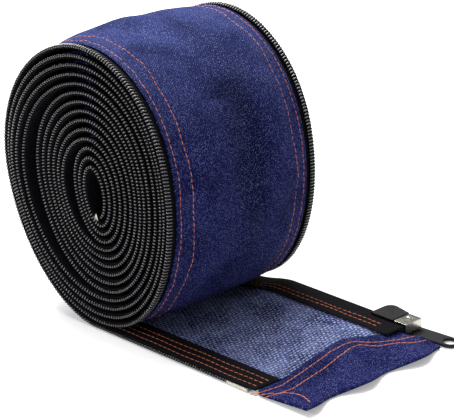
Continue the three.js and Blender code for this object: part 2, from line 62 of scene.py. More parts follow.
# The roll's winding, as in the part's source.
ROLL_LEFT = 66.6
ROLL_RIGHT = 60.4
ROLL_LOW = 86
ROLL_HIGH = 69.9
ROLL_TILT = math.radians(13.4)
FLAT_SPOT_DEPTH = 0.8
CORE_HALF_WIDTH = 6.5
CORE_HALF_HEIGHT = 13
CORE_X = -8
CORE_Z = 71.5
SLACK_PLACES = ((4.35, 6.2), (10.4, 6.6))
SLACK_SPREAD = 0.8
TAIL_OFFSET_Y = -0.8
INNER_TURN_DRIFT = 4.5
DRIFT_TURNS = 9
WOBBLE = 2.2
WOBBLE_TURN = 3
WOBBLE_TURNS = 2.6

# The tail and the hem, as in the part's source.
TAIL_RISE = 4.55
TAIL_RISE_START = 9.5
TAIL_RISE_END = 37.5
FAR_TAPE_END = 119.8
NEAR_TAPE_END = 110.3
HEM_START = 106.3
HEM_END = 142.5
HEM_HALF_WIDTH = 52.5
HEM_FLARE_LENGTH = 7
HEM_THICKNESS = 1.8
HEM_WAVE = 1.5
HEM_EDGE_WAVE = 3
HEM_WAVES = 2.6
HEM_WAVE_SHIFT = 0.35
HEM_SETTLED = 0.9
NEAR_COIL_END = 90.95
FAR_COIL_END = 97.35
STOP_LENGTH = 4
RUN_CLEARANCE = 0.35

# Sewing details that only the scene has. Rows are given by their place across the strip.
SEAM_ROWS = (44.3, 37.2)
STITCH_PITCH = 3.3
STITCH_LENGTH = 2.7
THREAD_RADIUS = 0.2
ROW_WANDER = 0.35
TAIL_ROWS = (-49.2, -44.6, -40.4, 39.1, 42.4)
ROW_WANDER_LENGTH = 13
HEM_STITCH_LENGTH = 3.5
HEM_THREAD = 0.3
STITCH_SLANT = math.radians(4)
SEAM_STITCH_LIFT = 0.05
TAIL_STITCH_LIFT = 0.02
HEM_STITCH_LIFT = 0.1

# Steps of the lines that the stitches follow: round the outermost turn, on the tail and on the hem.
ROLL_ROW_SPAN = (0.02, 1.02)
ROLL_ROW_STEPS = 300
TAIL_ROW_LAST_X = -4
TAIL_ROW_STEPS = 80
HEM_ROW_STEPS = 80

# Creases in the outermost turn: where each is, in turns and across, then its length and width, how far
# it slants from straight along the strip, and how far it stands out.
CREASES = (
    (0.525, -13, 19, 5.5, 0.41, -4.2),
    (0.468, -8, 14, 12, 0, 2.2),
    (0.5, 26, 13, 9, 0.2, -1.6),
    (0.575, 14, 14, 10, 0.3, 1.5),
    (0.65, -4, 11, 3, 1.57, -2.4),
    (0.632, -4, 13, 5, 1.57, 1.4),
    (0.715, 3, 38, 8, -0.31, -2.6),
    (0.7, -24, 40, 10, -0.1, 1.5),
    (0.7, 26, 34, 8, -0.2, 1.4),
    (0.83, 22, 24, 6, 0.5, -1.4),
)

# The coil's loops, and the cord that runs inside them: its edges from the coil's middle, and its height.
COIL_PITCH = 1.75
COIL_WIRE = 0.42
COIL_LEAN = math.radians(9)
COIL_STEPS = 60
COIL_END_GAP = 0.8
CORD_EDGES = (-1.9, -1.4, 1.2, 1.5)
CORD_HALF_HEIGHT = 0.55
CORD_RIM = np.array([0.3, 0.0, 0.0, 0.3])

# Where the hem's flap ends, where its two rows of stitches run and where a third crosses its corner.
# Each place is across the strip, then along it.
FLAP_EDGE = ((-53, 106.5), (-43, 108), (-35, 109.5), (-25, 108.3), (-15, 105.8), (-6, 104.5),
             (6, 103.5), (15, 103), (22, 105), (28, 112), (37, 116), (53, 117.5))
HEM_ROW_ONE = ((-51.2, 111.5), (-45.4, 113.3), (-36.9, 115.3), (-27.1, 112.9), (-17.8, 110.9),
               (-4.7, 109), (4.1, 107.6), (15.2, 107.8), (20, 110.3), (25.2, 118), (31, 121.4),
               (38.1, 123.4), (46, 124.2))
HEM_ROW_TWO = ((-48.2, 119.3), (-40.5, 122.2), (-32.3, 121.1), (-26, 119.2), (-17, 117.8),
               (-10.7, 117.9), (-0.3, 115.1), (9.3, 113.2), (15.3, 112.6), (19.6, 114.6), (24.6, 122.4),
               (34.1, 127.6), (39.2, 129.4), (46, 130.2))
CORNER_ROW = ((-50.5, 114), (-45, 118.5), (-39.5, 125), (-38, 132), (-41.5, 140.5))


# Plain maths

ROUNDING_REACH = 4
ROUNDING_SPREAD = 2.5
ROUNDING_STEPS = 9
TANGENT_STEP = 1e-3


def lerp(a, b, t):
    return a + (b - a) * t


def smoothstep(x, low, high):
    t = np.clip((np.asarray(x, float) - low) / (high - low), 0, 1)
    return t * t * (3 - 2 * t)


def smooth_line(points, at):
    """A curve through points given as (place, value), rounded off between them."""
    places, values = np.array(points, float).T
    shifts = np.linspace(-ROUNDING_REACH, ROUNDING_REACH, ROUNDING_STEPS)
    weights = np.exp(-(shifts / ROUNDING_SPREAD) ** 2)
    return sum(w * np.interp(at + s, places, values) for s, w in zip(shifts, weights)) / weights.sum()


def ripple(x, seed):
    """A repeatable uneven wave between about -1 and 1."""
    phases = np.random.default_rng(int(10 * abs(seed))).uniform(0, 2 * np.pi, 4)
    return sum(np.sin(x * f + p) / 2.2 for f, p in zip((1.0, 1.73, 2.61, 0.47), phases))


# The winding

def lowest_point():
    angle = math.atan2(ROLL_LEFT * math.sin(ROLL_TILT), ROLL_LOW * math.cos(ROLL_TILT))
    across = -ROLL_LEFT * math.sin(angle)
    down = -ROLL_LOW * math.cos(angle)
    x = across * math.cos(ROLL_TILT) - down * math.sin(ROLL_TILT)
    z = across * math.sin(ROLL_TILT) + down * math.cos(ROLL_TILT)
    return angle, x, z


CONTACT_ANGLE, LOWEST_X, LOWEST_Z = lowest_point()
SHIFT_X = -LOWEST_X - CORE_X
SHIFT_Z = -LOWEST_Z - FLAT_SPOT_DEPTH - CORE_Z
SHIFT_ACROSS = SHIFT_X * math.cos(ROLL_TILT) + SHIFT_Z * math.sin(ROLL_TILT)
SHIFT_UP = SHIFT_Z * math.cos(ROLL_TILT) - SHIFT_X * math.sin(ROLL_TILT)
REACH_LEFT = ROLL_LEFT - SHIFT_ACROSS
REACH_RIGHT = ROLL_RIGHT + SHIFT_ACROSS
REACH_LOW = ROLL_LOW - SHIFT_UP
REACH_HIGH = ROLL_HIGH + SHIFT_UP
SLACK_SUM = sum(width for _, width in SLACK_PLACES)
TURNS = (min(REACH_LEFT - SLACK_SUM, REACH_RIGHT) - CORE_HALF_WIDTH) / (STRIP_STACK + TURN_CLEARANCE)


def winding(turn):
    """X and Z of the strip's outer face after some turns."""
    turn = np.asarray(turn, float)
    angle = CONTACT_ANGLE + 2 * np.pi * turn
    outward = 1 - np.clip(turn / TURNS, 0, 1)
    slack = sum(width * smoothstep(turn, place, place + SLACK_SPREAD) for place, width in SLACK_PLACES)
    left = REACH_LEFT - (REACH_LEFT - CORE_HALF_WIDTH - SLACK_SUM) / TURNS * turn - slack
    right = REACH_RIGHT - (REACH_RIGHT - CORE_HALF_WIDTH) / TURNS * turn
    low = REACH_LOW - (REACH_LOW - CORE_HALF_HEIGHT) / TURNS * turn
    high = REACH_HIGH - (REACH_HIGH - CORE_HALF_HEIGHT) / TURNS * turn
    shift_across = SHIFT_ACROSS * outward
    shift_up = SHIFT_UP * outward
    half_across = np.where(np.sin(angle) > 0, left + shift_across, right - shift_across)
    half_up = np.where(np.cos(angle) > 0, low + shift_up, high - shift_up)
    across = shift_across - half_across * np.sin(angle)
    up = shift_up - half_up * np.cos(angle)
    x = CORE_X + across * math.cos(ROLL_TILT) - up * math.sin(ROLL_TILT)
    z = CORE_Z + across * math.sin(ROLL_TILT) + up * math.cos(ROLL_TILT)
    return x, np.maximum(0, z)


def turn_offset(turn):
    """How far a turn is moved along the roll's axis."""
    angle = CONTACT_ANGLE + 2 * np.pi * turn
    near = 1 - smoothstep(np.abs(turn - WOBBLE_TURN), 0, WOBBLE_TURNS)
    drift = INNER_TURN_DRIFT * smoothstep(turn, 1, DRIFT_TURNS)
    return TAIL_OFFSET_Y + drift - WOBBLE * near * np.sin(angle)


LENGTH_TURNS = np.linspace(0, TURNS, 9001)
LENGTH_X, LENGTH_Z = winding(LENGTH_TURNS)
LENGTH_SUM = np.concatenate([[0], np.cumsum(np.hypot(np.diff(LENGTH_X), np.diff(LENGTH_Z)))])
OUTER_TURN_LENGTH = float(np.interp(1, LENGTH_TURNS, LENGTH_SUM))


class Stations:
    """Places along the strip: on the tail from tail_x down to the roll, then at each turn."""

    def __init__(self, tail_x, turns):
        tail_x = np.asarray(tail_x, float)
        turns = np.asarray(turns, float)
        x, z = winding(turns)
        before_x, before_z = winding(turns - TANGENT_STEP)
        after_x, after_z = winding(turns + TANGENT_STEP)
        length = np.hypot(after_x - before_x, after_z - before_z)
        none = np.zeros(len(tail_x))
        self.turn = np.concatenate([none - 1, turns])
        self.x = np.concatenate([tail_x, x])
        self.z = np.concatenate([none, z])
        self.in_x = np.concatenate([none, (after_z - before_z) / length])
        self.in_z = np.concatenate([none + 1, (before_x - after_x) / length])
        self.offset = np.concatenate([none + TAIL_OFFSET_Y, turn_offset(turns)])
        crown = np.where(turns < 1, smoothstep(z, 0, CROWN_FADE_HEIGHT), 0)
        self.crown = CROWN_HEIGHT * np.concatenate([none, crown])
        rise = TAIL_RISE * smoothstep(tail_x, TAIL_RISE_START, TAIL_RISE_END)
        self.rise = np.concatenate([rise, np.zeros(len(turns))])
        self.along = np.concatenate([-tail_x, np.interp(turns, LENGTH_TURNS, LENGTH_SUM)])

    def points(self, v, depth):
        """A grid of points: rows along the strip, columns across it."""
        rows = len(self.x)
        v = np.broadcast_to(np.asarray(v, float), (rows, np.shape(v)[-1]))
        depth = np.broadcast_to(np.asarray(depth, float), v.shape)
        lifted = self.rise[:, None] * smoothstep(v, -CROWN_SHOULDER, TAPE_INNER)
        return np.stack([
            self.x[:, None] + self.in_x[:, None] * depth,
            self.offset[:, None] + v,
            self.z[:, None] + self.in_z[:, None] * depth + lifted,
        ], axis=-1)

    def outward(self, count):
        out = np.stack([-self.in_x, np.zeros(len(self.x)), -self.in_z], axis=-1)
        return np.repeat(out[:, None], count, axis=1)


# Meshes

def add_object(mesh, name):
    piece = bpy.data.objects.new(name, mesh)
    bpy.context.scene.collection.objects.link(piece)
    return piece


def mesh_of(name, points, faces, cloth, materials, face_material):
    """A mesh from points in millimetres, with its cloth coordinates in metres."""
    mesh = bpy.data.meshes.new(name)
    mesh.from_pydata((points * MM).tolist(), [], faces)
    for material in materials:
        mesh.materials.append(material)
    mesh.polygons.foreach_set("material_index", np.asarray(face_material, np.int32))
    mesh.polygons.foreach_set("use_smooth", np.full(len(mesh.polygons), True))
    layer = mesh.uv_layers.new(name="cloth")
    corner = np.zeros(len(mesh.loops), np.int32)
    mesh.loops.foreach_get("vertex_index", corner)
    layer.data.foreach_set("uv", (cloth[corner] * MM).astype(np.float32).ravel())
    mesh.update()
    return mesh


def shell(name, outer, inner, along, across, materials, edge_columns=0):
    """A closed thin solid between two grids of one size. The inner grid's faces take materials[1]."""
    rows, columns = outer.shape[:2]
    ring = np.concatenate([outer, inner[:, ::-1]], axis=1)
    across = np.broadcast_to(across, (rows, columns))
    ring_v = np.concatenate([across, across[:, ::-1]], axis=1)
    wide = 2 * columns
    ring_u = np.broadcast_to(along if np.ndim(along) == 2 else along[:, None], (rows, wide))
    index = np.arange(rows * wide).reshape(rows, wide)
    nxt = np.roll(index, -1, axis=1)
    quads = np.stack([index[:-1], nxt[:-1], nxt[1:], index[1:]], axis=-1).reshape(-1, 4)
    inner_side = np.zeros((rows - 1, wide), int)
    inner_side[:, columns + edge_columns:wide - 1 - edge_columns] = 1
    caps = []
    for row, turned in ((0, True), (rows - 1, False)):
        for c in range(columns - 1):
            quad = [index[row, c], index[row, c + 1], index[row, wide - 2 - c], index[row, wide - 1 - c]]
            caps.append(quad[::-1] if turned else quad)
    faces = quads.tolist() + [[int(i) for i in cap] for cap in caps]
    sides = inner_side.ravel().tolist() + [0] * len(caps)
    if len(materials) == 1:
        sides = [0] * len(faces)
    cloth = np.stack([ring_u.ravel(), ring_v.ravel()], axis=-1)
    mesh = mesh_of(name, ring.reshape(-1, 3), faces, cloth, materials, sides)
    facing_out(mesh)
    return add_object(mesh, name)


def facing_out(mesh):
    work = bmesh.new()
    work.from_mesh(mesh)
    bmesh.ops.recalc_face_normals(work, faces=work.faces)
    work.to_mesh(mesh)
    work.free()


# Materials

class Recipe:
    """A material's node tree, with short calls for the nodes that it uses."""

    def __init__(self, name, **values):
        self.material = bpy.data.materials.new(name)
        self.material.use_nodes = True
        self.tree = self.material.node_tree
        self.shader = self.tree.nodes["Principled BSDF"]
        for socket, value in values.items():
            self.shader.inputs[socket.replace("_", " ")].default_value = value

    def add(self, kind, settings=None, **inputs):
        node = self.tree.nodes.new(kind)
        for key, value in (settings or {}).items():
            setattr(node, key, value)
        for key, value in inputs.items():
            self.put(node.inputs[int(key[1:]) if key[0] == "i" and key[1:].isdigit() else key], value)
        return node

    def put(self, socket, value):
        if isinstance(value, bpy.types.NodeSocket):
            self.tree.links.new(value, socket)
        else:
            socket.default_value = value

    def math(self, operation, a, b=0.0):
        return self.add("ShaderNodeMath", {"operation": operation}, i0=a, i1=b).outputs[0]

    def length(self, vector):
        return self.add("ShaderNodeVectorMath", {"operation": "LENGTH"}, i0=vector).outputs["Value"]

    def cloth(self):
        """The strip's own coordinates in millimetres: along it and across it."""
        layer = self.add("ShaderNodeUVMap", {"uv_map": "cloth"})
        parts = self.add("ShaderNodeSeparateXYZ", i0=layer.outputs[0])
        return [self.math("MULTIPLY", parts.outputs[k], 1 / MM) for k in (0, 1)]

    def vector(self, x, y):
        return self.add("ShaderNodeCombineXYZ", i0=x, i1=y).outputs[0]

    def noise(self, vector, scale, detail=3.0):
        return self.add("ShaderNodeTexNoise", Vector=vector, Scale=scale, Detail=detail).outputs[0]

    def ramp(self, value, low, high, to_low=0.0, to_high=1.0):
        return self.add("ShaderNodeMapRange", Value=value,
                        i1=low, i2=high, i3=to_low, i4=to_high).outputs[0]

    def mix(self, share, a, b):
        node = self.add("ShaderNodeMix", {"data_type": "RGBA"})
        self.put(node.inputs[0], share)
        self.put(node.inputs[6], a)
        self.put(node.inputs[7], b)
        return node.outputs[2]

    def bump(self, height, distance, strength):
        node = self.add("ShaderNodeBump", Height=height, Distance=distance, Strength=strength)
        self.tree.links.new(node.outputs[0], self.shader.inputs["Normal"])

    def colour(self, value):
        self.put(self.shader.inputs["Base Color"], value)
        return self.material


def rgb(red, green, blue):
    """A written sRGB colour, from 0 to 255, as the linear one that a shader takes."""
    def linear(c):
        c = c / 255
        return c / 12.92 if c <= 0.04045 else ((c + 0.055) / 1.055) ** 2.4
    return (linear(red), linear(green), linear(blue), 1)


# The denim's face side: its diagonal ribs, its uneven threads and its pale flecks, from millimetres.
TWILL_SLOPE = 0.7
TWILL_PACE = 5.2
SLUB_STRETCH = 0.25
SLUB_SCALE = 0.9
CLOUD_SCALE = 0.045
FLECK_SCALE = 3.2
FLECK_STRETCH = (0.8, 1.25)
FLECK_STRENGTH = 0.7

# Its painted light, paler on top of the roll where the light falls most, and its painted shade, darker in
# one place below, along and across the strip.
PAINTED_TOP_LIGHT_PLACE = 216
PAINTED_TOP_LIGHT_REACH = (90, 25)
PAINTED_TOP_LIGHT_STRENGTH = 0.42
PAINTED_SHADE_PLACE = (311, 4)
PAINTED_SHADE_SIZE = (62, 14)
PAINTED_SHADE_STRENGTH = 0.6

# The denim's inner side: pale threads in rows, and a washed cloudiness.
WEAVE_WIDTH = 2.5
WEAVE_ROW = 2.0
WEAVE_GAP = 0.45
WEAVE_SOFTNESS = 0.6
WASHED_SCALE = 0.05

# The zip tape's ribs along it and its picks across it, and the scale of the noise that varies the painted
# highlights on its raised threads.
TAPE_RIB_PACE = 6.0
TAPE_PICK_PACE = 7.0
HIGHLIGHT_NOISE_SCALE = 0.5


def twill_ground(recipe, along, across, cloudy):
    """The face side's dyed threads, and the height of its ribs."""
    rib_place = recipe.math("ADD", along, recipe.math("MULTIPLY", across, TWILL_SLOPE))
    twill = recipe.math("SINE", recipe.math("MULTIPLY", rib_place, TWILL_PACE))
    slubs = recipe.noise(recipe.vector(recipe.math("MULTIPLY", along, SLUB_STRETCH), across), SLUB_SCALE)
    ground = recipe.mix(recipe.ramp(twill, -1, 1, 0.1, 0.9), rgb(6, 8, 46), rgb(34, 38, 100))
    ground = recipe.mix(recipe.ramp(slubs, 0.3, 0.7, 0, 0.3), ground, rgb(20, 23, 76))
    ground = recipe.mix(recipe.ramp(cloudy, 0.45, 0.7, 0, 0.2), ground, rgb(44, 50, 112))
    return ground, recipe.math("ADD", recipe.math("MULTIPLY", twill, 0.5), slubs)


def painted_light_and_shade(recipe, along, across, cloudy, ground):
    """The ground with painted light, paler on top of the roll, and painted shade, darker in one place
    below it and in cloudy patches.
    """
    # Painted light: paler on top of the roll, where the light falls most.
    from_top = recipe.math("ABSOLUTE", recipe.math("SUBTRACT", along, PAINTED_TOP_LIGHT_PLACE))
    ground = recipe.mix(recipe.ramp(from_top, *PAINTED_TOP_LIGHT_REACH, 0, PAINTED_TOP_LIGHT_STRENGTH), ground, rgb(64, 75, 126))
    # Painted shade: darker in one place below the top of the roll, where the cloth curves away from the
    # light.
    offsets = [recipe.math("MULTIPLY", recipe.math("SUBTRACT", place, centre), 1 / size)
               for place, centre, size in zip((along, across), PAINTED_SHADE_PLACE, PAINTED_SHADE_SIZE)]
    from_painted_shade = recipe.length(recipe.vector(*offsets))
    ground = recipe.mix(recipe.ramp(from_painted_shade, 1.3, 0.4, 0, PAINTED_SHADE_STRENGTH), ground, rgb(12, 13, 50))
    # Painted shade: darker in the cloudy patches, standing in for the shade in the cloth's hollows.
    return recipe.mix(recipe.ramp(cloudy, 0.5, 0.3, 0, 0.55), ground, rgb(12, 14, 48))


def pale_flecks(recipe, along, across, cloudy):
    """Where a cell of the cloth shows an undyed thread, a few more of them in the cloudy places."""
    stretched = [recipe.math("MULTIPLY", place, share)
                 for place, share in zip((along, across), FLECK_STRETCH)]
    cells = recipe.add("ShaderNodeTexVoronoi", {"voronoi_dimensions": "2D"},
                       Vector=recipe.vector(*stretched), Scale=FLECK_SCALE, Randomness=0.9)
    lottery = recipe.add("ShaderNodeSeparateColor", i0=cells.outputs["Color"]).outputs[0]
    near_middle = recipe.ramp(cells.outputs["Distance"], 0.45, 0.2)
    chosen = recipe.ramp(recipe.math("ADD", lottery, recipe.math("MULTIPLY", cloudy, 0.3)), 0.94, 1.08)
    return recipe.math("MULTIPLY", near_middle, chosen)


def denim_face():
    recipe = Recipe("denim_face", Roughness=0.95, Specular_IOR_Level=0.05)
    along, across = recipe.cloth()
    cloudy = recipe.noise(recipe.vector(along, across), CLOUD_SCALE)
    ground, height = twill_ground(recipe, along, across, cloudy)
    ground = painted_light_and_shade(recipe, along, across, cloudy, ground)
    fleck = recipe.math("MULTIPLY", pale_flecks(recipe, along, across, cloudy), FLECK_STRENGTH)
    recipe.bump(height, 0.0002, 0.6)
    return recipe.colour(recipe.mix(fleck, ground, rgb(176, 186, 230)))


def denim_inside():
    recipe = Recipe("denim_inside", Roughness=0.95, Specular_IOR_Level=0.05)
    along, across = recipe.cloth()
    place = recipe.vector(along, across)
    weave = recipe.add("ShaderNodeTexBrick", {"offset": 0.5, "squash": 1.0},
                       Vector=recipe.vector(across, along),
                       i1=(1, 1, 1, 1), i2=(0.55, 0.55, 0.55, 1), i3=(0, 0, 0, 1), Scale=1.0)
    for socket, value in (("Mortar Size", WEAVE_GAP), ("Mortar Smooth", WEAVE_SOFTNESS),
                          ("Brick Width", WEAVE_WIDTH), ("Row Height", WEAVE_ROW)):
        weave.inputs[socket].default_value = value
    uneven = recipe.noise(place, SLUB_SCALE, 2.0)
    washed = recipe.noise(place, WASHED_SCALE)
    thread = recipe.math("MULTIPLY", weave.outputs["Color"], recipe.ramp(uneven, 0.38, 0.6))
    pale = recipe.math("ADD", thread, recipe.ramp(washed, 0.4, 0.65, 0, 0.18))
    recipe.bump(weave.outputs["Color"], 0.00025, 0.5)
    return recipe.colour(recipe.mix(pale, rgb(8, 11, 58), rgb(182, 196, 250)))


def zip_tape():
    recipe = Recipe("zip_tape", Roughness=0.9, Specular_IOR_Level=0.1)
    along, across = recipe.cloth()
    ribs = recipe.math("SINE", recipe.math("MULTIPLY", across, TAPE_RIB_PACE))
    picks = recipe.math("SINE", recipe.math("MULTIPLY", along, TAPE_PICK_PACE))
    weave = recipe.math("MULTIPLY", ribs, picks)
    highlight_noise = recipe.noise(recipe.vector(along, across), HIGHLIGHT_NOISE_SCALE)
    recipe.bump(weave, 0.0002, 0.7)
    # Painted highlight: the weave's raised threads made lighter, more in some patches than in others.
    painted_highlight = recipe.math("MULTIPLY", recipe.ramp(weave, 0.2, 1, 0, 0.6), recipe.ramp(highlight_noise, 0.35, 0.7))
    return recipe.colour(recipe.mix(painted_highlight, rgb(15, 14, 19), rgb(42, 41, 50)))


def plain_finish(name, low, high, scale, bump_distance, **values):
    """Two close colours in a fine mottle on Object coordinates, with the same mottle in the surface."""
    recipe = Recipe(name, **values)
    place = recipe.add("ShaderNodeTexCoord").outputs["Object"]
    mottle = recipe.noise(place, scale)
    recipe.bump(mottle, bump_distance, 0.5)
    return recipe.colour(recipe.mix(recipe.ramp(mottle, 0.35, 0.65), low, high))


DENIM_FACE = denim_face()
DENIM_INSIDE = denim_inside()
ZIP_TAPE = zip_tape()
ZIP_COIL = plain_finish("zip_coil", rgb(9, 9, 11), rgb(15, 15, 18), 900, 0.00002,
                        Roughness=0.2, Specular_IOR_Level=1.0, IOR=1.85)
ORANGE_THREAD = plain_finish("orange_thread", rgb(204, 98, 52), rgb(236, 146, 90), 1400, 0.00006,
                             Roughness=0.6, Sheen_Weight=0.2)
BRIGHT_NICKEL = plain_finish("bright_nickel", rgb(198, 194, 182), rgb(216, 212, 200), 300, 0.00003,
                             Roughness=0.24, Metallic=1.0)
BLACK_ENAMEL = plain_finish("black_enamel", rgb(9, 9, 11), rgb(14, 14, 17), 260, 0.00003,
                            Roughness=0.42, Specular_IOR_Level=0.22)
BLACK_TAB = plain_finish("black_tab", rgb(22, 22, 26), rgb(30, 30, 35), 700, 0.00004,
                         Roughness=0.6, Specular_IOR_Level=0.2)


# The denim panel

SECTION_V = np.array([
    47, 46.75, 46.1, 45.2, 44.3, 43.4, 42, 40.2, 38.4, 37.2, 36, 34, 31, 27, 22, 17, 11, 5.5, 0])
SECTION_V = np.concatenate([-SECTION_V, SECTION_V[-2::-1]])
FOLD_RADIUS = 0.9
BULGE_PAST_GAP = 0.3
SEAM_SINK = 0.35
SEAM_WIDTH = 0.9
SEAM_PULL_LENGTH = 2.1
PUCKER_HEIGHT = 0.16
PUCKER_LENGTH = 1.9

# Over which shares of the outermost turn its creases come in and fade out, and where across the strip
# they end. Then its soft folds: height, length along, length across, and the seed of their wave.
CREASES_START = (0.05, 0.14)
CREASES_END = (0.88, 0.99)
CREASES_EDGE = (36, 46)
SOFT_FOLDS = ((0.7, 15, 40, 31), (0.35, 7, -19, 32))

# The hem: its ply, the length that is tucked in, how many rows its face, its fold and its back have, how
# far the fold's rows reach round it, and how much of the back is modelled.
HEM_PLY = 0.85
HEM_FACE_ROWS = 22
HEM_FOLD_ROWS = 5
HEM_FOLD_REACH = 60
HEM_FOLD_CORE = 0.05
HEM_BACK_ROWS = 18
HEM_BACK_SHARE = 0.97
FLAP_PUCKER = 0.15
FLAP_ROW_WIDTH = 1.2

# Steps round the outermost turn, where they stop, and steps for each turn further in. Then steps of the
# tail, up to a place just before it bends, and how far before the hem's start the tail's cloth begins.
OUTER_STEPS = 215
OUTER_PART = 1.03
INNER_STEPS = 44
TAIL_LAST_X = 1
DENIM_TAIL_STEPS = 46
TAPE_TAIL_STEPS = 44
COIL_TAIL_STEPS = 50
HEM_SETBACK = 0.8


def panel_depths(stations, v):
    """Depths of the panel's face side and inner side, with its rounded edges and sewn-down seams."""
    v = np.broadcast_to(v, (len(stations.x), len(v)))
    shows = (stations.turn < 1.05)[:, None]
    middle = 1 - smoothstep(np.abs(v), CROWN_SHOULDER, DENIM_HALF)
    outer = DENIM_FOLD_DROP * (1 - middle) - stations.crown[:, None] * middle
    inner = COIL_HEIGHT * (1 - middle) + (DENIM_THICKNESS - stations.crown[:, None]) * middle
    past = np.clip((np.abs(v) - DENIM_HALF + FOLD_RADIUS) / FOLD_RADIUS, 0, 1)
    tuck = FOLD_RADIUS * (1 - np.sqrt(1 - past ** 2))
    for k, row in enumerate(SEAM_ROWS):
        for side in (-1, 1):
            pull = 0.6 + 0.4 * ripple(stations.along[:, None] / SEAM_PULL_LENGTH, 10 + 2 * k + side)
            outer = outer + shows * SEAM_SINK * pull * np.exp(-((v - side * row) / SEAM_WIDTH) ** 2)
    puckers = PUCKER_HEIGHT * ripple(stations.along[:, None] / PUCKER_LENGTH + v / 9, 3)
    puckers = puckers * smoothstep(np.abs(v), 30, 38) * (1 - smoothstep(np.abs(v), 45, 46.5)) * shows
    creased = relief(stations, v) + slack_bulge(stations)[:, None] * middle
    return outer + tuck + puckers - creased, inner - tuck - creased


def slack_bulge(stations):
    """How far an inner turn's cloth bellies out into the gap that the turn around it leaves."""
    x, z = winding(stations.turn)
    outer_x, outer_z = winding(stations.turn - 1)
    gap = np.hypot(x - outer_x, z - outer_z) - STRIP_STACK
    return (gap + BULGE_PAST_GAP) * smoothstep(stations.turn, 1.04, 1.2)


def relief(stations, v):
    """How far creases in the outermost turn stand out from it."""
    turn, along = stations.turn[:, None], stations.along[:, None]
    shown = smoothstep(turn, *CREASES_START) * (1 - smoothstep(turn, *CREASES_END))
    inside = 1 - smoothstep(np.abs(v), *CREASES_EDGE)
    soft = sum(height * ripple(along / length + v / reach, seed)
               for height, length, reach, seed in SOFT_FOLDS)
    creases = 0.0
    for at_turn, at_v, length, width, slant, height in CREASES:
        up = (turn - at_turn) * OUTER_TURN_LENGTH
        aside = v - at_v
        run = up * math.cos(slant) + aside * math.sin(slant)
        off = aside * math.cos(slant) - up * math.sin(slant)
        creases = creases + height * np.exp(-(run / length) ** 2 - (off / width) ** 2)
    return shown * inside * (soft + creases)


def hem_bottom(x, v):
    """Across position and height of the hem's underside, at x along the strip."""
    side = v / DENIM_HALF
    wave = np.sin(HEM_WAVES * np.pi * (side + HEM_WAVE_SHIFT))
    along = np.clip((x - HEM_START) / (HEM_END - HEM_START), 0, 1.1)
    flare_start = np.where(side < 0, HEM_START, FAR_TAPE_END + RUN_CLEARANCE)
    spread = smoothstep((x - flare_start) / HEM_FLARE_LENGTH, 0, 1)
    half = lerp(DENIM_HALF, HEM_HALF_WIDTH, spread)
    lift = TAIL_RISE * smoothstep(v, -CROWN_SHOULDER, TAPE_INNER)
    lift = lift * (1 - smoothstep(along, 0, HEM_SETTLED))
    return TAIL_OFFSET_Y + side * half, lift + HEM_WAVE * along * (1 + wave)


def hem_end(v):
    wave = np.sin(HEM_WAVES * np.pi * (v / DENIM_HALF + HEM_WAVE_SHIFT))
    return HEM_END + HEM_EDGE_WAVE * wave


def flap_puckers(x, v):
    """How far the flap stands out between its rows of stitches, which pull it in."""
    first = np.exp(-((x - smooth_line(HEM_ROW_ONE, v)) / FLAP_ROW_WIDTH) ** 2)
    second = np.exp(-((x - smooth_line(HEM_ROW_TWO, v)) / FLAP_ROW_WIDTH) ** 2)
    return FLAP_PUCKER * ripple(v / 2.2 + x / 14, 21) - 0.3 * first - 0.25 * second


def hem_rows(v):
    """The hem from the flap's edge over the fold and back under: face side, inner side and length."""
    fold = HEM_THICKNESS / 2
    end = hem_end(v) - fold
    start = smooth_line(FLAP_EDGE, v)
    outer, inner, along = [], [], []
    for share in np.linspace(0, 1, HEM_FACE_ROWS):
        x = lerp(start, end, share)
        y, z = hem_bottom(x, v)
        top = z + HEM_THICKNESS + flap_puckers(x, v) * smoothstep(share, 0, 0.1)
        outer.append(np.stack([x, y, top], axis=-1))
        inner.append(np.stack([x, y, z + HEM_THICKNESS - HEM_PLY], axis=-1))
        along.append(-2 * end - np.pi * fold + x)
    y, z = hem_bottom(end, v)
    for turn in np.linspace(HEM_FOLD_REACH, -HEM_FOLD_REACH, HEM_FOLD_ROWS):
        out_x, out_z = math.cos(math.radians(turn)), math.sin(math.radians(turn))
        for side, radius in ((outer, fold), (inner, HEM_FOLD_CORE)):
            side.append(np.stack([end + radius * out_x, y, z + fold + radius * out_z], axis=-1))
        along.append(-end - fold * math.radians(90 + turn))
    for share in np.linspace(0, HEM_BACK_SHARE, HEM_BACK_ROWS):
        x = lerp(end, HEM_START, share)
        y, z = hem_bottom(x, v)
        outer.append(np.stack([x, y, z], axis=-1))
        inner.append(np.stack([x, y, z + HEM_PLY], axis=-1))
        along.append(-x)
    return np.array(outer), np.array(inner), np.array(along)


def roll_turns():
    """Close steps round the outermost turn, where the cloth shows, and wider ones further in."""
    return np.concatenate([
        np.linspace(0, OUTER_PART, OUTER_STEPS, endpoint=False),
        np.linspace(OUTER_PART, TURNS, int((TURNS - OUTER_PART) * INNER_STEPS)),
    ])


def make_denim():
    stations = Stations(np.linspace(HEM_START - HEM_SETBACK, TAIL_LAST_X, DENIM_TAIL_STEPS), roll_turns())
    outer_depth, inner_depth = panel_depths(stations, SECTION_V)
    hem_outer, hem_inner, hem_along = hem_rows(SECTION_V)
    outer = np.concatenate([hem_outer, stations.points(SECTION_V, outer_depth)])
    inner = np.concatenate([hem_inner, stations.points(SECTION_V, inner_depth)])
    strip_along = np.repeat(stations.along[:, None], len(SECTION_V), axis=1)
    along = np.concatenate([hem_along, strip_along])
    along = np.concatenate([along, along[:, ::-1]], axis=1)
    panel = shell("denim_cloth", outer, inner, along, SECTION_V, [DENIM_FACE, DENIM_INSIDE], 6)
    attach(panel, "sleeve")
    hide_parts("denim_panel")


# The zip tapes

